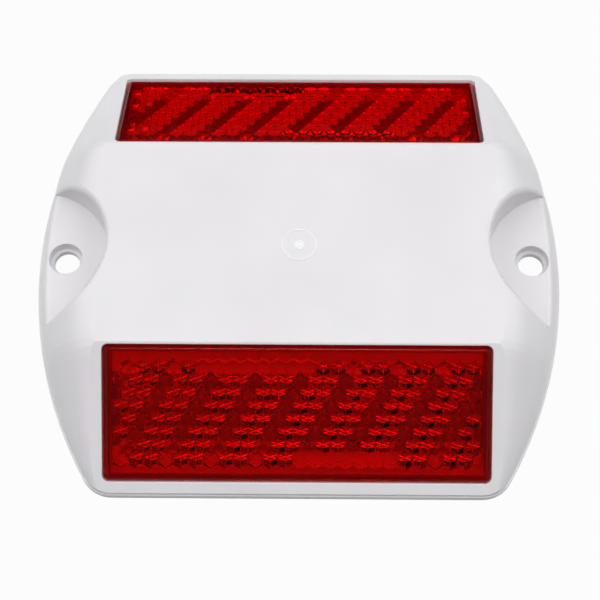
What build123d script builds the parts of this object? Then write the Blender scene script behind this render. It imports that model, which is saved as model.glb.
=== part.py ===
from build123d import *

import os
from math import atan, cos, degrees, pi, radians, sin, sqrt, tan

# Moulded body, seen from above and from the side
body_width = 114.0
body_depth = 102.0
body_height = 18.0
top_depth = 46.6
side_radius = 95.7
corner_radius = 7.0

# Flange round the foot of the body, and the low rim where the slopes end
flange_height = 1.5
flange_step = 0.3
rim_rise = 0.7
shoulder_step = 0.5

# Convex shoulders between the top and the bowed sides
shoulder_bulge = 0.16
shoulder_lean = 0.6
break_softness = 2.5
top_stations = 4
break_stations = 4
slope_stations = 6

# Pockets and screw holes at either side
pocket_radius = 15.9
pocket_inset = 1.7
pocket_floor = 8.25
rim_round = 1.6
edge_round = 1.4
round_flats = 3
hole_edge = 6.65
hole_diameter = 5.5
hole_length = 1.3
counterbore_step = 0.85
counterbore_depth = 2.3
boss_skin = 0.95
boss_wall = 1.8

# Reflector lens: its distance to the edges of the slope, and its sections
lens_offset = 0.68
lens_sill = 2.55
lens_margin = 3.8
lens_border = 2.5
lens_corner = 1.2
lens_edge = 1.1
lens_recess = 0.2
face_thickness = 0.8
frame_thickness = 2.2
frame_width = 1.4
lens_clearance = 0.15

# Cube-corner prisms on the back of the lens
prism_pitch = 3.1
prism_lean = 10.0
prism_upright_every = 3
land_columns = 8
land_shift = 3
prism_root = 0.1
prism_bite = 0.3
prism_gap = 0.15
land_gap = 0.05
prism_margin = 0.3

# Plate behind the prisms and the adhesive under the lens frame
backing_thickness = 0.6
backing_clearance = 0.2
backing_setback = 1.8
bond_thickness = 0.2
bond_inset = 0.15

# Walls and honeycomb of the underside
wall = 2.3
socket_floor = 1.6
cell_across = 10.4
cell_rib = 2.0
cell_least_height = 2.0

# Overlap that lets cutting solids pass clean through a face
overrun = 1.0

half_width = body_width / 2
half_depth = body_depth / 2
half_top = top_depth / 2
end_reach = half_depth - flange_step
rim_height = flange_height + rim_rise
slope = atan((body_height - rim_height) / (end_reach - half_top))


def side_reach(y):
    """Half width of the bowed outline at a depth y, before its corners are rounded."""
    return half_width - side_radius + sqrt(side_radius**2 - y**2)


# The lens fills the slope, and the shoulders start beside it
lens_length = (end_reach - half_top) / cos(slope) - lens_offset - lens_sill
lens_width = 2 * (side_reach(end_reach - lens_sill * cos(slope)) - lens_margin)
half_crest = lens_width / 2 + lens_border
window_width = lens_width - 2 * frame_width
window_length = lens_length - 2 * frame_width

pocket_centre = half_crest - pocket_inset + pocket_radius
hole_offset = half_width - hole_edge
seat_bottom = pocket_floor - counterbore_depth - hole_length
boss_radius = hole_edge - shoulder_step - boss_skin

# Cube corners lean down from the lens face, towards light that comes in level with the road
prism_tilt = radians(prism_lean)
prism_side = prism_pitch / sqrt(3)
prism_rise = prism_pitch / sqrt(6)
prism_height = prism_side * sin(prism_tilt) + 2 * prism_rise * cos(prism_tilt)
tip_depth = lens_recess + face_thickness + prism_root + prism_height
well_depth = tip_depth + prism_gap + backing_thickness
ledge_depth = lens_recess + frame_thickness + bond_thickness

# Rows and columns of prisms that the window takes, with the overhang of the end rows
row_pitch = 1.5 * prism_side / cos(prism_tilt)
row_foot = prism_side * cos(prism_tilt) + 2 * prism_rise * sin(prism_tilt)
row_head = prism_side / cos(prism_tilt) + prism_gap * tan(prism_tilt)
prism_rows = 1 + int((window_length - 2 * prism_margin - row_foot - row_head) / row_pitch)
prism_columns = int((window_width - 2 * prism_margin) / prism_pitch - 0.5)

# Corners of a hexagon, in half pitches across and half sides up
HEXAGON = [(1, 1), (0, 2), (-1, 1), (-1, -1), (0, -2), (1, -1)]
SAME_POINT = 1e-6

# Rounded edges take this share of the wall beside them, and stop short of the full turn
ROUND_SHARE = 0.7
BEND_SHARE = 0.9

# Sections of the rounded rim and floor edge, as shares of the way from the middle of the pocket to its tips
RIM_STATIONS = (0.22, 0.45, 0.63, 0.78, 0.9, 0.985)
EDGE_STATIONS = (0.4, 0.75, 1.05)


def crest_height(y):
    """Height of the shoulders' crest at a depth y: along the top, round the break and down the slopes."""
    past_break = abs(y) - half_top
    if abs(past_break) < break_softness:
        return body_height - tan(slope) * (past_break + break_softness) ** 2 / (4 * break_softness)
    return body_height - tan(slope) * max(0.0, past_break)


def plan_outline(inset):
    """Outline seen from above: bowed sides, straight ends and rounded corners."""
    centre = half_width - side_radius
    bow = side_radius - inset
    outline = Rectangle(body_width, body_depth - 2 * inset)
    outline &= Pos(centre, 0) * Circle(bow)
    outline &= Pos(-centre, 0) * Circle(bow)
    return fillet(outline.vertices(), corner_radius - inset)


def profile_along_depth(points):
    """Prism across the whole width whose section is a list of (depth, height) points."""
    section = Plane.YZ * make_face(Polyline(*points, close=True))
    return extrude(section, body_width / 2 + overrun, both=True)


def shoulder_arc(y, inset=0.0):
    """Arc of the right shoulder from its foot to its crest, in the plane across the body at depth y."""
    foot_height = flange_height - shoulder_step
    foot = Vector(side_reach(y) - shoulder_step - inset, foot_height)
    height = crest_height(y) - inset
    lean = shoulder_lean * (height - foot_height)
    crest = Vector(min(half_crest - inset / 2, foot.X - lean), height)
    chord = crest - foot
    outward = Vector(chord.Y, -chord.X).normalized()
    middle = (foot + crest) * 0.5 + outward * (chord.length * shoulder_bulge)
    return ThreePointArc(foot, middle, crest)


def shoulder_height(x, y, inset=0.0):
    """Height of the surface over a point of the right half, and nothing beyond the shoulder."""
    arc = shoulder_arc(y, inset)
    if x <= (arc @ 1).X:
        return crest_height(y) - inset
    rest = arc.radius**2 - (x - arc.arc_center.X) ** 2
    return arc.arc_center.Y + sqrt(rest) if rest > 0 else 0.0


def shoulder_reach(z, y):
    """Half width over the shoulder at a height and a depth."""
    arc = shoulder_arc(y)
    return arc.arc_center.X + sqrt(arc.radius**2 - (z - arc.arc_center.Y) ** 2)


def shoulder_section(y):
    """Section of the solid that trims the right shoulder, in the plane across the body at depth y."""
    arc = shoulder_arc(y)
    foot = arc @ 0
    crest = arc @ 1
    tangent = arc % 1
    run_out = crest + tangent * overrun * 2
    past_crest = JernArc(crest, tangent, arc.radius, degrees(overrun / 2 / arc.radius))
    reach = half_width + overrun
    ceiling = body_height + 3 * overrun
    above = [run_out, (run_out.X, ceiling), (reach, ceiling), (reach, foot.Y)]
    rest = Polyline(past_crest @ 1, *above, foot)
    return Plane.XZ.offset(-y) * make_face([arc, past_crest, rest])


def shoulder_trim():
    """Solids that trim the right shoulder: one smooth piece beside the top, and straight ones beyond it."""
    bend_start = half_top - break_softness
    bend_end = half_top + break_softness
    spans = [
        (-half_depth, -bend_end, slope_stations),
        (-bend_end, -bend_start, break_stations),
        (-bend_start, bend_start, top_stations),
        (bend_start, bend_end, break_stations),
        (bend_end, half_depth, slope_stations),
    ]
    trims = []
    for start, end, stations in spans:
        depths = [start + (end - start) * step / (stations - 1) for step in range(stations)]
        trims.append(loft([shoulder_section(y) for y in depths], ruled=start != -end))
    return trims


def main_form():
    """Flange and upper body with slopes and shoulders, still solid."""
    profile = [(-end_reach, 0), (end_reach, 0), (end_reach, rim_height), (half_top, body_height)]
    profile += [(-half_top, body_height), (-end_reach, rim_height)]
    upper = profile_along_depth(profile) & extrude(plan_outline(flange_step), body_height + overrun)
    for trim in shoulder_trim():
        upper -= trim
        upper -= mirror(trim, Plane.YZ)
    return upper + extrude(plan_outline(0.0), flange_height)


def pocket_wall(turn, radius):
    """Point of the surface at a turn and a radius about the axis of the right pocket."""
    x = pocket_centre - radius * cos(turn)
    y = radius * sin(turn)
    return Vector(x, y, shoulder_height(x, y))


def pocket_tip():
    """Turn about the pocket's axis at which its wall runs out into the shoulder."""
    low, high = 0.0, pi / 2
    while high - low > SAME_POINT:
        turn = (low + high) / 2
        if pocket_wall(turn, pocket_radius).Z > pocket_floor:
            low = turn
        else:
            high = turn
    return low


def rim_section(turn):
    """Section of the cutter that rounds the pocket's rim, upright through the pocket's axis."""
    rim = pocket_wall(turn, pocket_radius)
    size = min(rim_round, ROUND_SHARE * (rim.Z - pocket_floor))
    rise = (pocket_wall(turn, pocket_radius + size).Z - rim.Z) / size
    bend = BEND_SHARE * (pi / 2 - atan(rise))
    foot = pocket_wall(turn, pocket_radius + size * (1 - cos(bend))).Z - size * sin(bend)
    steps = [bend * step / round_flats for step in range(round_flats + 1)]
    outline = [(pocket_radius + size * (1 - cos(angle)), foot + size * sin(angle)) for angle in steps]
    (before, low), (last, high) = outline[-2:]
    reach = overrun / sqrt((last - before) ** 2 + (high - low) ** 2)
    far = last + (last - before) * reach
    ceiling = body_height + 2 * overrun
    near = pocket_radius - overrun
    outline += [(far, high + (high - low) * reach), (far, ceiling), (near, ceiling), (near, foot)]
    points = [(pocket_centre - radius * cos(turn), radius * sin(turn), z) for radius, z in outline]
    return make_face(Polyline(*points, close=True))


def edge_section(y):
    """Section of the cutter that rounds the outer edge of the pocket's floor, across the body at depth y."""
    edge = shoulder_reach(pocket_floor, y)
    bend = BEND_SHARE * atan(edge_round / (shoulder_reach(pocket_floor - edge_round, y) - edge))
    start = shoulder_reach(pocket_floor - edge_round * (1 - cos(bend)), y) - edge_round * sin(bend)
    steps = [bend * step / round_flats for step in range(round_flats + 1)]
    falls = [edge_round * (1 - cos(angle)) for angle in steps]
    outline = [(start + edge_round * sin(angle), pocket_floor - fall) for angle, fall in zip(steps, falls)]
    (before, high), (last, low) = outline[-2:]
    reach = overrun / sqrt((last - before) ** 2 + (high - low) ** 2)
    far = last + (last - before) * reach
    ceiling = pocket_floor + overrun
    outline += [(far, low - (high - low) * reach), (far, ceiling), (start, ceiling)]
    return make_face(Polyline(*((x, y, z) for x, z in outline), close=True))


def cut_pockets(body):
    """Finger pockets: an upright round wall with a soft rim, over a flat floor with a soft outer edge."""
    tip = pocket_tip()
    turns = [share * tip for share in RIM_STATIONS]
    rim = loft([rim_section(turn) for turn in [-turn for turn in reversed(turns)] + [0.0] + turns])
    depths = [share * pocket_radius * sin(tip) for share in EDGE_STATIONS]
    edges = [edge_section(depth) for depth in [-depth for depth in reversed(depths)] + [0.0] + depths]
    well = Pos(pocket_centre, 0, 0) * extrude(Circle(pocket_radius), body_height)
    edge = loft(edges) & well
    pocket = Pos(0, 0, pocket_floor) * well
    for cutter in (pocket, rim, edge):
        body -= cutter
        body -= mirror(cutter, Plane.YZ)
    return body


def six_sided(half_across):
    """Hexagon with flats to the left and right."""
    return RegularPolygon(half_across, 6, major_radius=False, rotation=30)


def cut_screw_holes(body):
    """Stepped screw holes through the pocket floors, over an open six-sided boss."""
    for side in (1, -1):
        top = Pos(side * hole_offset, 0, pocket_floor)
        body -= top * extrude(Circle(hole_diameter / 2 + counterbore_step), -counterbore_depth)
        body -= top * extrude(Circle(hole_diameter / 2), -pocket_floor - overrun)
        body -= Pos(side * hole_offset, 0, -overrun) * extrude(six_sided(boss_radius), seat_bottom + overrun)
    return body


def lens_outline(growth):
    """Outline of the lens with rounded corners, grown evenly on all sides."""
    outline = Rectangle(lens_width + 2 * growth, lens_length + 2 * growth)
    return fillet(outline.vertices(), lens_corner + growth)


def lens_window():
    """Opening inside the lens frame, in the plane of the slope."""
    return Rectangle(window_width, window_length)


def cut_lens_socket(body, place):
    """Ledge for the lens frame, and the deeper well for the prisms and the plate behind them."""
    body -= place * extrude(lens_outline(lens_clearance), -ledge_depth)
    low_edge = -window_length / 2
    well = Polyline(
        (low_edge, -ledge_depth + overrun),
        (low_edge, -ledge_depth),
        (low_edge + backing_setback - backing_clearance, -well_depth),
        (-low_edge, -well_depth),
        (-low_edge, -ledge_depth + overrun),
        close=True,
    )
    section = Plane.YZ * make_face(well)
    return body - place * extrude(section, window_width / 2, both=True)


def roof_height(x, y):
    """Height of the hollow underside that leaves its wall under the top, slopes, shoulders and pockets."""
    under_slope = body_height - (abs(y) - half_top) * tan(slope) - (well_depth + socket_floor) / cos(slope)
    heights = [body_height - wall, under_slope, shoulder_height(abs(x), y, wall)]
    if sqrt((abs(x) - pocket_centre) ** 2 + y**2) < pocket_radius + wall:
        heights.append(pocket_floor - wall)
    return min(heights)


def honeycomb_cells():
    """Hollow hexagonal cells of the underside, each with a flat roof under the wall above it."""
    pitch = cell_across + cell_rib
    rows = int(half_depth / (pitch * cos(pi / 6)))
    columns = int(half_width / pitch) + 1
    corners = six_sided(cell_across / 2).vertices()
    cells = []
    for row in range(-rows, rows + 1):
        y = row * pitch * cos(pi / 6)
        for column in range(-columns, columns + 1):
            x = (column + (row % 2) / 2) * pitch
            roof = min(roof_height(x + corner.X, y + corner.Y) for corner in corners)
            inside = abs(x) + cell_across / 2 <= side_reach(abs(y) + cell_across / 2) - shoulder_step - wall
            beside = abs(abs(x) - hole_offset)
            to_boss = max(beside, beside / 2 + abs(y) * cos(pi / 6)) - boss_radius - cell_across / 2
            if roof >= cell_least_height and inside and to_boss >= boss_wall:
                cells.append(Pos(x, y, -overrun) * extrude(six_sided(cell_across / 2), roof + overrun))
    return cells


def prism_point(line, depth):
    """Point at a depth along the prism axis, on one of the lines that the hexagons' corners follow."""
    across = line[0] * prism_pitch / 2
    up = line[1] * prism_side / 2
    along = up * cos(prism_tilt) + depth * sin(prism_tilt)
    height = up * sin(prism_tilt) - depth * cos(prism_tilt)
    return Vector(across, along, height)


def depth_at(line, height):
    """Depth along the prism axis at which a line reaches a height over the plane of the prism tips."""
    up = line[1] * prism_side / 2
    return (up * sin(prism_tilt) - height) / cos(prism_tilt)


def prism_layout():
    """Centre line of each prism, with its kind: upright, turned half round, or a flat land."""
    layout = {}
    land_row = {0: land_shift, prism_rows - 1: -land_shift}
    for row in range(prism_rows):
        for column in range(prism_columns):
            half_pitches = 2 * column + row % 2 - prism_columns
            kind = "turned"
            if (half_pitches - row) // 2 % prism_upright_every == 0:
                kind = "upright"
            if row in land_row and abs(half_pitches / 2 - land_row[row]) < land_columns / 2:
                kind = "land"
            layout[half_pitches, 3 * row] = kind
    return layout


def corner_depths(centre, kind):
    """Lines of a prism's six corners, with their depths along the prism axis."""
    lines = [(centre[0] + x, centre[1] + up) for x, up in HEXAGON]
    if kind == "land":
        return [(line, depth_at(line, land_gap - prism_gap)) for line in lines]
    rises = (2 * prism_rise, prism_rise) if kind == "upright" else (prism_rise, 2 * prism_rise)
    tip = depth_at(centre, 0)
    return [(line, tip - rises[place % 2]) for place, line in enumerate(lines)]


def polygon_face(points):
    """Flat face through points, leaving out repeats."""
    corners = [point for place, point in enumerate(points) if (point - points[place - 1]).length > SAME_POINT]
    return Face(Wire.make_polygon(corners))


def prism_block():
    """Closed block of cube-corner prisms under the lens face, with the step walls between them."""
    layout = prism_layout()
    corners = {centre: corner_depths(centre, kind) for centre, kind in layout.items()}
    cover_height = prism_height + prism_root + prism_bite
    edges = {}
    levels = {}
    for hexagon in corners.values():
        for place, (line, depth) in enumerate(hexagon):
            before, depth_before = hexagon[place - 1]
            ends = sorted([(before, depth_before), (line, depth)])
            edges.setdefault((ends[0][0], ends[1][0]), []).append((ends[0][1], ends[1][1]))
            levels.setdefault(line, set()).add(depth)

    def rung(line, start, end):
        """Points along a line from one depth to another, with every level that meets it between them."""
        between = [d for d in levels[line] if min(start, end) + SAME_POINT < d < max(start, end) - SAME_POINT]
        return [prism_point(line, d) for d in [start, *sorted(between, reverse=start > end), end]]

    faces = []
    crossings = {}
    rim = {}
    for (left, right), sides in edges.items():
        if len(sides) == 1:
            sides.append((depth_at(left, cover_height), depth_at(right, cover_height)))
            rim.setdefault(left, []).append(right)
            rim.setdefault(right, []).append(left)
        (near_left, near_right), (far_left, far_right) = sides
        gap_left = near_left - far_left
        gap_right = near_right - far_right
        if abs(gap_left) < SAME_POINT and abs(gap_right) < SAME_POINT:
            continue
        left_side = rung(left, near_left, far_left)
        right_side = rung(right, far_right, near_right)
        if gap_left * gap_right < 0:
            share = gap_left / (gap_left - gap_right)
            crossing = left_side[0] + (right_side[-1] - left_side[0]) * share
            crossings[left, right] = crossing
            faces += [polygon_face(left_side + [crossing]), polygon_face(right_side + [crossing])]
        else:
            faces.append(polygon_face(left_side + right_side))

    def side_points(hexagon, start, end):
        """Point within one side of a hexagon where the side of its neighbour crosses it, if any."""
        lines = tuple(sorted((hexagon[start][0], hexagon[end][0])))
        return [crossings[lines]] if lines in crossings else []

    for centre, hexagon in corners.items():
        points = [prism_point(line, depth) for line, depth in hexagon]
        if layout[centre] == "land":
            faces.append(polygon_face(points))
            continue
        tip = prism_point(centre, depth_at(centre, 0))
        first = 0 if layout[centre] == "upright" else 1
        for far in range(first, len(points), 2):
            before, after = far - 1, (far + 1) % len(points)
            outline = [tip, points[before], *side_points(hexagon, before, far), points[far]]
            outline += [*side_points(hexagon, far, after), points[after]]
            faces.append(polygon_face(outline))

    start = min(rim)
    loop = [start, rim[start][0]]
    while loop[-1] != start:
        loop.append(next(line for line in rim[loop[-1]] if line != loop[-2]))
    faces.append(polygon_face([prism_point(line, depth_at(line, cover_height)) for line in loop[:-1]]))
    block = Solid(Shell(faces))
    first_row = (row_foot - row_head - (prism_rows - 1) * row_pitch) / 2
    return Pos(prism_pitch / 4, first_row, -tip_depth) * block


def make_lens():
    """Red lens: face plate with a rounded edge, a frame that stands on the ledge, and prisms behind."""
    back = Pos(0, 0, -lens_recess - frame_thickness)
    lens = back * extrude(lens_outline(0), frame_thickness)
    lens = fillet(lens.faces().sort_by(Axis.Z)[-1].edges(), lens_edge)
    lens -= back * extrude(lens_window(), frame_thickness - face_thickness)
    return lens + prism_block()


def make_backing():
    """White plate that closes the air space behind the prisms."""
    low = -window_length / 2 + backing_setback
    high = window_length / 2 - backing_clearance
    plate = Rectangle(window_width - 2 * backing_clearance, high - low)
    return Pos(0, (low + high) / 2, -well_depth) * extrude(plate, backing_thickness)


def make_bond():
    """Bead of adhesive between the lens frame and the ledge of its socket."""
    opening = Rectangle(window_width + 2 * bond_inset, window_length + 2 * bond_inset)
    bead = Rectangle(lens_width - 2 * bond_inset, lens_length - 2 * bond_inset)
    bead = chamfer(bead.vertices(), lens_corner) - opening
    return Pos(0, 0, -ledge_depth) * extrude(bead, bond_thickness)


def make_housing(sockets):
    """The whole white moulding."""
    body = main_form()
    body = cut_pockets(body)
    body = cut_screw_holes(body)
    for socket in sockets:
        body = cut_lens_socket(body, socket)
    for cell in honeycomb_cells():
        body -= cell
    return body


along_slope = lens_offset + lens_length / 2
lens_centre = (0, -half_top - along_slope * cos(slope), body_height - along_slope * sin(slope))
front = Plane(lens_centre, x_dir=(1, 0, 0), z_dir=(0, -sin(slope), cos(slope))).location
rear = Rot(0, 0, 180) * front

parts = {"housing": make_housing([front, rear])}
pieces = {"lens": make_lens(), "lens_backing": make_backing(), "lens_bond": make_bond()}
for name, piece in pieces.items():
    parts[f"front_{name}"] = front * piece
    parts[f"rear_{name}"] = rear * piece

os.makedirs("parts", exist_ok=True)
for node, solid in parts.items():
    export_step(solid, f"parts/{node}.step")
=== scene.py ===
from math import cos, pi, radians, sin

import bpy
from mathutils import Matrix, Vector


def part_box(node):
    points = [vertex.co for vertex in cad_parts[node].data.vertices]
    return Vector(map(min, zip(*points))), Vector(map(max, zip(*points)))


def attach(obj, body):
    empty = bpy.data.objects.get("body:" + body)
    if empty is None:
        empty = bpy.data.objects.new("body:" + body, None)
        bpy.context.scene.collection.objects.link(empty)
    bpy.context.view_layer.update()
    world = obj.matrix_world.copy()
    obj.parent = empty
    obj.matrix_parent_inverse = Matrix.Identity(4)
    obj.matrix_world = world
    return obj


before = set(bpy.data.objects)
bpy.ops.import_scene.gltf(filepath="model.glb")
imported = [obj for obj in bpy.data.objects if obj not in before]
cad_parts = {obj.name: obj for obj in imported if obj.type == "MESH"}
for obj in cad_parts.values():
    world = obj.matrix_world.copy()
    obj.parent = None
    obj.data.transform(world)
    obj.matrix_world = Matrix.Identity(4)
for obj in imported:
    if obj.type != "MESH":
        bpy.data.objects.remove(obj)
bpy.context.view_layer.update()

# Housing: the white body of the stud, injection moulded in one piece of ABS.
# It carries the two lenses in sloped sockets, and its side pockets take the road screws.
# The mould's grain is finer than the one here, which is drawn coarser so that it shows.
MM = 0.001
HOUSING_WHITE = "#EAE8EB"
HOUSING_SHADE = "#E4E2E5"
FLOW_PATCH = 22 * MM
FLOW_DETAIL = 3.0
FLOW_SPAN = (0.3, 0.7)
MOULD_GRAIN = 0.45 * MM
GRAIN_HEIGHT = 0.003 * MM
GRAIN_STRENGTH = 0.05
HOUSING_ROUGHNESS = 0.29
ROUGHNESS_SPREAD = 0.02
ABS_IOR = 1.53
EDGE_SOFTNESS = 0.35 * MM
EDGE_SAMPLES = 6


def linear(hex_colour):
    """Linear colour of an sRGB hex value."""
    shares = [int(hex_colour[i : i + 2], 16) / 255 for i in (1, 3, 5)]
    return [s / 12.92 if s <= 0.04045 else ((s + 0.055) / 1.055) ** 2.4 for s in shares] + [1.0]


def add_node(tree, kind, inputs=None, **settings):
    """Adds a shader node with its settings, and links or sets its inputs."""
    node = tree.nodes.new("ShaderNode" + kind)
    for name, value in settings.items():
        setattr(node, name, value)
    for name, value in (inputs or {}).items():
        if isinstance(value, bpy.types.NodeSocket):
            tree.links.new(value, node.inputs[name])
        else:
            node.inputs[name].default_value = value
    return node


def new_material(name):
    """Empty material with its node tree."""
    material = bpy.data.materials.new(name)
    material.use_nodes = True
    material.node_tree.nodes.clear()
    return material, material.node_tree


def finish_node(piece, material):
    """Gives a piece its only material."""
    piece.data.materials.clear()
    piece.data.materials.append(material)


def moulded_abs(name, white, shade, edge_softness, roughness):
    """ABS from a satin mould: near white, with faint flow patches, a fine grain and a soft sheen."""
    material, tree = new_material(name)
    place = add_node(tree, "TexCoord").outputs["Object"]
    flow = add_node(tree, "TexNoise", {"Vector": place, "Scale": 1 / FLOW_PATCH, "Detail": FLOW_DETAIL})
    colour = add_node(tree, "ValToRGB", {"Fac": flow.outputs["Fac"]})
    for stop, position, tone in zip(colour.color_ramp.elements, FLOW_SPAN, (shade, white)):
        stop.position = position
        stop.color = linear(tone)
    grain = add_node(tree, "TexNoise", {"Vector": place, "Scale": 1 / MOULD_GRAIN})
    gloss = add_node(
        tree,
        "MapRange",
        {
            "Value": grain.outputs["Fac"],
            "To Min": roughness - ROUGHNESS_SPREAD,
            "To Max": roughness + ROUGHNESS_SPREAD,
        },
    )
    edge = add_node(tree, "Bevel", {"Radius": edge_softness}, samples=EDGE_SAMPLES)
    bump = add_node(
        tree,
        "Bump",
        {
            "Height": grain.outputs["Fac"],
            "Strength": GRAIN_STRENGTH,
            "Distance": GRAIN_HEIGHT,
            "Normal": edge.outputs["Normal"],
        },
    )
    shader = add_node(
        tree,
        "BsdfPrincipled",
        {
            "Base Color": colour.outputs["Color"],
            "Roughness": gloss.outputs["Result"],
            "Normal": bump.outputs["Normal"],
            "IOR": ABS_IOR,
        },
    )
    add_node(tree, "OutputMaterial", {"Surface": shader.outputs["BSDF"]})
    return material


white_abs = moulded_abs("moulded_white_ABS", HOUSING_WHITE, HOUSING_SHADE, EDGE_SOFTNESS, HOUSING_ROUGHNESS)
finish_node(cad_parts["housing"], white_abs)

# Gate mark: the round scar in the middle of the top where the plastic came into the mould.
# The gate insert leaves a fine raised ring, and the sprue that was twisted off leaves a small nub.
# Both are painted a little whiter than the plastic round them, as a painted highlight for the light their
# ridges catch.
GATE_HIGHLIGHT_WHITE = "#F6F5F7"
GATE_HIGHLIGHT_TONE = "#F0EFF1"
GATE_ROUGHNESS = 0.16
GATE_SOFTNESS = 0.03 * MM
GATE_RING = [(3.7, 0.0), (3.64, 0.07), (3.57, 0.12), (3.48, 0.13), (3.4, 0.1), (3.33, 0.03), (3.3, 0.0)]
GATE_NUB = [(1.12, 0.0), (1.02, 0.07), (0.9, 0.11), (0.78, 0.06), (0.6, 0.01), (0.45, 0.05), (0.22, 0.18)]
GATE_PLACE = (0.2, -1.2)
TURN_STEPS = 96

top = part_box("housing")[1].z


def turned_piece(name, profile, place, closed):
    """Smooth mesh turned round an upright axis from (radius, height) points in millimetres."""
    verts = []
    faces = []
    for radius, height in profile:
        for step in range(TURN_STEPS):
            turn = 2 * pi * step / TURN_STEPS
            verts.append(place + Vector((radius * cos(turn), radius * sin(turn), height)) * MM)
    for ring in range(len(profile) - 1):
        outer = ring * TURN_STEPS
        inner = outer + TURN_STEPS
        for step in range(TURN_STEPS):
            after = (step + 1) % TURN_STEPS
            faces.append((outer + step, outer + after, inner + after, inner + step))
    if closed:
        verts.append(place + Vector((0, 0, profile[-1][1])) * MM)
        last = (len(profile) - 1) * TURN_STEPS
        faces += [(last + step, last + (step + 1) % TURN_STEPS, len(verts) - 1) for step in range(TURN_STEPS)]
    mesh = bpy.data.meshes.new(name)
    mesh.from_pydata(verts, [], faces)
    mesh.polygons.foreach_set("use_smooth", [True] * len(mesh.polygons))
    piece = bpy.data.objects.new(name, mesh)
    bpy.context.scene.collection.objects.link(piece)
    return piece


gate_place = Vector((*GATE_PLACE, 0)) * MM + Vector((0, 0, top))
gate_ring = turned_piece("gate_ring", GATE_RING, gate_place, closed=False)
gate_nub = turned_piece("gate_nub", GATE_NUB, gate_place, closed=True)
# Painted highlight: the ring and the nub get a whiter colour than the housing round them.
painted_highlight_abs = moulded_abs("ABS_with_painted_highlight", GATE_HIGHLIGHT_WHITE, GATE_HIGHLIGHT_TONE, GATE_SOFTNESS, GATE_ROUGHNESS)
for scar in (gate_ring, gate_nub):
    finish_node(scar, painted_highlight_abs)
    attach(scar, "root")

# Adhesive beads: thin beads of cured grey adhesive that hold the lens frames on the socket ledges.
# They are laid wet and squeezed flat by the lens, and show only as a dull line round it.
BEAD_GREY = "#A8A8A5"
BEAD_LIGHT = "#BCBCB8"
BEAD_ROUGHNESS = 0.6
BEAD_GRAIN = 1.2 * MM
SKIN_HEIGHT = 0.1 * MM
SKIN_STRENGTH = 0.3


def cured_adhesive():
    """Cured adhesive: dull grey with a slightly uneven skin."""
    material, tree = new_material("cured_adhesive")
    place = add_node(tree, "TexCoord").outputs["Object"]
    skin = add_node(tree, "TexNoise", {"Vector": place, "Scale": 1 / BEAD_GRAIN})
    colour = add_node(tree, "ValToRGB", {"Fac": skin.outputs["Fac"]})
    colour.color_ramp.elements[0].color = linear(BEAD_GREY)
    colour.color_ramp.elements[1].color = linear(BEAD_LIGHT)
    bump = add_node(
        tree, "Bump", {"Height": skin.outputs["Fac"], "Strength": SKIN_STRENGTH, "Distance": SKIN_HEIGHT}
    )
    shader = add_node(
        tree,
        "BsdfPrincipled",
        {
            "Base Color": colour.outputs["Color"],
            "Roughness": BEAD_ROUGHNESS,
            "Normal": bump.outputs["Normal"],
        },
    )
    add_node(tree, "OutputMaterial", {"Surface": shader.outputs["BSDF"]})
    return material


adhesive = cured_adhesive()
for end in ("front", "rear"):
    finish_node(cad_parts[f"{end}_lens_bond"], adhesive)

# Backing plates: white ABS sheet behind the prisms, which closes the dry air space of the reflector.
# The flat lands of the lens lie close to its white long edges and show bright. Between those edges the sheet
# is painted darker, as painted shade for the dry air space behind the prisms, which keeps the prisms that
# leak light dark.
BACKING_WHITE = "#F4F4F2"
BACKING_SHADE = "#ECECE9"
BACKING_ROUGHNESS = 0.7
SHEET_GRAIN = 1.5 * MM
PAINTED_SHADE_LEVEL = 0.38
SHADE_HALF_HEIGHT = 4.0 * MM
SHADE_EDGE = 0.2 * MM

plate_low, plate_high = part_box("front_lens_backing")


def white_sheet_with_painted_shade():
    """White ABS sheet: matt, with a faint rolled grain, and painted shade between its long edges."""
    material, tree = new_material("white_ABS_sheet")
    place = add_node(tree, "TexCoord").outputs["Object"]
    grain = add_node(tree, "TexNoise", {"Vector": place, "Scale": 1 / SHEET_GRAIN})
    colour = add_node(tree, "ValToRGB", {"Fac": grain.outputs["Fac"]})
    colour.color_ramp.elements[0].color = linear(BACKING_SHADE)
    colour.color_ramp.elements[1].color = linear(BACKING_WHITE)
    height = add_node(tree, "SeparateXYZ", {"Vector": place}).outputs["Z"]
    middle = (plate_low.z + plate_high.z) / 2
    above_middle = add_node(tree, "Math", {0: height, 1: middle}, operation="SUBTRACT")
    off_middle = add_node(tree, "Math", {0: above_middle.outputs[0]}, operation="ABSOLUTE")
    # Painted shade: the sheet is darkened between its long edges, where shade falls behind the prisms.
    painted_shade = add_node(
        tree,
        "MapRange",
        {
            "Value": off_middle.outputs[0],
            "From Min": SHADE_HALF_HEIGHT - SHADE_EDGE,
            "From Max": SHADE_HALF_HEIGHT,
            "To Min": PAINTED_SHADE_LEVEL,
            "To Max": 1.0,
        },
    )
    shaded = add_node(
        tree, "VectorMath", {0: colour.outputs["Color"], "Scale": painted_shade.outputs["Result"]}, operation="SCALE"
    )
    shader = add_node(
        tree, "BsdfPrincipled", {"Base Color": shaded.outputs["Vector"], "Roughness": BACKING_ROUGHNESS}
    )
    add_node(tree, "OutputMaterial", {"Surface": shader.outputs["BSDF"]})
    return material


sheet_white = white_sheet_with_painted_shade()
for end in ("front", "rear"):
    finish_node(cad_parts[f"{end}_lens_backing"], sheet_white)

# Lenses: red PMMA reflectors with a smooth face and moulded cube corners on the back.
# They are injection moulded in one shot each and glued into their sockets.
# The rounded edges of the prisms scatter light and show as a net of fine lines.
LENS_RED = "#FF0204"
LENS_DEEP = "#F80002"
LENS_GLINT = "#FF7070"
PMMA_IOR = 1.49
MELT_PATCH = 9 * MM
PRISM_SOFTNESS = 0.2 * MM
LENS_ROUGHNESS = 0.02
SCATTER_ROUGHNESS = 0.7
SCATTER_WIDTH = 0.15 * MM
SCATTER_TURN = (0.93, 0.995)


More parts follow.
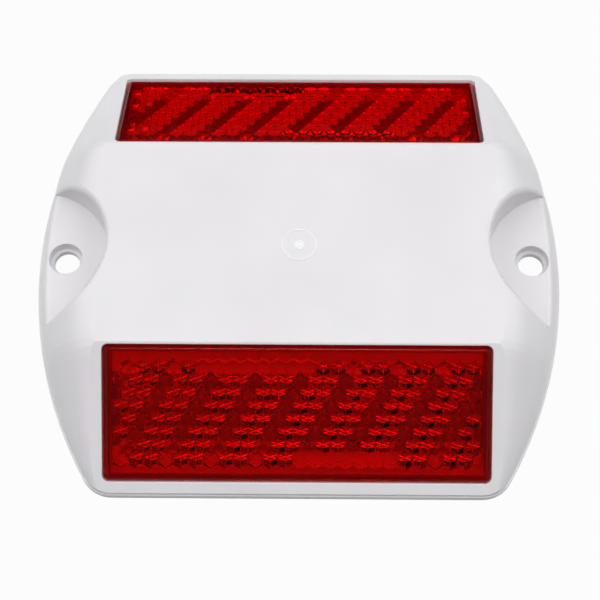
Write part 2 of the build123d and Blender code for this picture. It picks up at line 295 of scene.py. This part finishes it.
def red_pmma():
    """Clear red PMMA: polished faces bend the light, and the rounded prism edges scatter it."""
    material, tree = new_material("clear_red_PMMA")
    place = add_node(tree, "TexCoord").outputs["Object"]
    melt = add_node(tree, "TexNoise", {"Vector": place, "Scale": 1 / MELT_PATCH})
    colour = add_node(tree, "ValToRGB", {"Fac": melt.outputs["Fac"]})
    colour.color_ramp.elements[0].color = linear(LENS_DEEP)
    colour.color_ramp.elements[1].color = linear(LENS_RED)
    edge = add_node(tree, "Bevel", {"Radius": PRISM_SOFTNESS}, samples=EDGE_SAMPLES)
    rounded = add_node(tree, "Bevel", {"Radius": SCATTER_WIDTH}, samples=EDGE_SAMPLES).outputs["Normal"]
    flat = add_node(tree, "NewGeometry").outputs["Normal"]
    turn = add_node(tree, "VectorMath", {0: rounded, 1: flat}, operation="DOT_PRODUCT")
    polish = add_node(
        tree,
        "MapRange",
        {
            "Value": turn.outputs["Value"],
            "From Min": SCATTER_TURN[0],
            "From Max": SCATTER_TURN[1],
            "To Min": SCATTER_ROUGHNESS,
            "To Max": LENS_ROUGHNESS,
        },
    )
    shader = add_node(
        tree,
        "BsdfPrincipled",
        {
            "Base Color": colour.outputs["Color"],
            "Roughness": polish.outputs["Result"],
            "IOR": PMMA_IOR,
            "Specular Tint": linear(LENS_GLINT),
            "Normal": edge.outputs["Normal"],
            "Transmission Weight": 1.0,
        },
    )
    add_node(tree, "OutputMaterial", {"Surface": shader.outputs["BSDF"]})
    return material


pmma = red_pmma()
for end in ("front", "rear"):
    finish_node(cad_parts[f"{end}_lens"], pmma)

# Camera: above the front, as in the photograph, aimed at the middle of the base.
# Its distance, lens, roll and shift come from fitting the stud's outline, lens corners and screw holes.
CAMERA_DISTANCE = 0.356
CAMERA_ELEVATION = radians(65)
CAMERA_ORBIT = radians(1.48)
CAMERA_ROLL = radians(-1.05)
CAMERA_LENS = 96.8
CAMERA_SENSOR = 36.0
CAMERA_SHIFT = (0.002, -0.040)

camera = bpy.data.objects.new("camera", bpy.data.cameras.new("camera"))
camera.data.sensor_width = CAMERA_SENSOR
camera.data.lens = CAMERA_LENS
camera.data.shift_x, camera.data.shift_y = CAMERA_SHIFT
orbit = Matrix.Rotation(CAMERA_ORBIT, 4, "Z")
tilt = Matrix.Rotation(pi / 2 - CAMERA_ELEVATION, 4, "X")
back_off = Matrix.Translation((0, 0, CAMERA_DISTANCE))
roll = Matrix.Rotation(CAMERA_ROLL, 4, "Z")
camera.matrix_world = orbit @ tilt @ back_off @ roll
bpy.context.scene.collection.objects.link(camera)
bpy.context.scene.camera = camera
bpy.context.scene.view_settings.view_transform = "Standard"

# Studio: a plain paper floor under a soft tent that leans back a little and is brightest at its sides.
# A small lamp hangs overhead, and the camera looks in through a dim opening in the cloth.
# The floor shows white and keeps a faint shadow round the stud.
STUDIO_WHITE = "#FFFFFF"
FLOOR_SIZE = 6.0
FLOOR_GREY = "#686867"
FLOOR_GLOW = 0.97
LIT_FLOOR = (0.09, 0.12)
TENT_LEAN = radians(12)
TENT_FOOT = (0.26, 0.52)
TENT_SIDE = (0.15, 0.5)
TENT_LEVELS = {"low": 0.06, "high": 0.97, "middle": 0.5, "side": 1.66}
LAMP_TILT = radians(6)
LAMP_EDGE = (radians(9), radians(6))
LAMP_LEVEL = 8.4
OPENING_TILT = radians(35)
OPENING_EDGE = (radians(26), radians(20))
OPENING_LEVEL = 0.45


def studio_floor():
    """Matt paper, lit enough to show as white. Mirror images show its dark end behind the stud."""
    material, tree = new_material("pale_paper")
    path = add_node(tree, "LightPath")
    place = add_node(tree, "TexCoord").outputs["Object"]
    behind = add_node(tree, "SeparateXYZ", {"Vector": place}).outputs["Y"]
    near = add_node(
        tree,
        "MapRange",
        {
            "Value": behind,
            "From Min": LIT_FLOOR[0],
            "From Max": LIT_FLOOR[1],
            "To Min": 1.0,
            "To Max": 0.0,
        },
    )
    camera_ray = path.outputs["Is Camera Ray"]
    lit = add_node(tree, "Math", {0: camera_ray, 1: near.outputs["Result"]}, operation="MAXIMUM")
    glossy_ray = path.outputs["Is Glossy Ray"]
    bent_ray = path.outputs["Is Transmission Ray"]
    mirrored = add_node(tree, "Math", {0: glossy_ray, 1: bent_ray}, operation="MAXIMUM")
    seen = add_node(tree, "Math", {0: camera_ray, 1: mirrored.outputs[0]}, operation="MAXIMUM")
    paper = add_node(tree, "BsdfDiffuse", {"Color": linear(FLOOR_GREY)})
    glow = add_node(tree, "Emission", {"Color": linear(STUDIO_WHITE), "Strength": lit.outputs[0]})
    share = add_node(tree, "Math", {0: seen.outputs[0], 1: FLOOR_GLOW}, operation="MULTIPLY")
    mix = add_node(
        tree,
        "MixShader",
        {"Fac": share.outputs[0], 1: paper.outputs["BSDF"], 2: glow.outputs["Emission"]},
    )
    add_node(tree, "OutputMaterial", {"Surface": mix.outputs["Shader"]})
    return material


floor_mesh = bpy.data.meshes.new("floor")
half_floor = FLOOR_SIZE / 2
floor_corners = [(x * half_floor, y * half_floor, 0) for x, y in ((-1, -1), (1, -1), (1, 1), (-1, 1))]
floor_mesh.from_pydata(floor_corners, [], [(0, 1, 2, 3)])
floor = bpy.data.objects.new("floor", floor_mesh)
bpy.context.scene.collection.objects.link(floor)
finish_node(floor, studio_floor())


def tent_world():
    """Light of the tent by direction: dark at its foot, brighter to the sides, with lamp and opening."""
    world = bpy.data.worlds.new("soft_tent")
    world.use_nodes = True
    tree = world.node_tree
    tree.nodes.clear()
    direction = add_node(tree, "TexCoord").outputs["Generated"]
    tent_axis = (0, sin(TENT_LEAN), cos(TENT_LEAN))
    height = add_node(tree, "VectorMath", {0: direction, 1: tent_axis}, operation="DOT_PRODUCT")
    up = add_node(
        tree,
        "MapRange",
        {
            "Value": height.outputs["Value"],
            "From Min": TENT_FOOT[0],
            "From Max": TENT_FOOT[1],
            "To Min": TENT_LEVELS["low"],
            "To Max": TENT_LEVELS["high"],
        },
    )
    across = add_node(tree, "SeparateXYZ", {"Vector": direction}).outputs["X"]
    sideways = add_node(tree, "Math", {0: across}, operation="ABSOLUTE")
    side = add_node(
        tree,
        "MapRange",
        {
            "Value": sideways.outputs[0],
            "From Min": TENT_SIDE[0],
            "From Max": TENT_SIDE[1],
            "To Min": TENT_LEVELS["middle"],
            "To Max": TENT_LEVELS["side"],
        },
    )
    cloth = add_node(tree, "Math", {0: up.outputs["Result"], 1: side.outputs["Result"]}, operation="MULTIPLY")
    opening_aim = (0, -sin(OPENING_TILT), cos(OPENING_TILT))
    to_opening = add_node(tree, "VectorMath", {0: direction, 1: opening_aim}, operation="DOT_PRODUCT")
    opening = add_node(
        tree,
        "MapRange",
        {
            "Value": to_opening.outputs["Value"],
            "From Min": cos(OPENING_EDGE[0]),
            "From Max": cos(OPENING_EDGE[1]),
            "To Min": 1.0,
            "To Max": OPENING_LEVEL,
        },
    )
    open_cloth = add_node(
        tree, "Math", {0: cloth.outputs[0], 1: opening.outputs["Result"]}, operation="MULTIPLY"
    )
    lamp_aim = (0, -sin(LAMP_TILT), cos(LAMP_TILT))
    to_lamp = add_node(tree, "VectorMath", {0: direction, 1: lamp_aim}, operation="DOT_PRODUCT")
    lamp = add_node(
        tree,
        "MapRange",
        {
            "Value": to_lamp.outputs["Value"],
            "From Min": cos(LAMP_EDGE[0]),
            "From Max": cos(LAMP_EDGE[1]),
            "To Min": 0.0,
            "To Max": LAMP_LEVEL,
        },
    )
    level = add_node(tree, "Math", {0: open_cloth.outputs[0], 1: lamp.outputs["Result"]}, operation="ADD")
    light = add_node(tree, "Background", {"Color": linear(STUDIO_WHITE), "Strength": level.outputs[0]})
    add_node(tree, "OutputWorld", {"Surface": light.outputs["Background"]})
    return world


bpy.context.scene.world = tent_world()
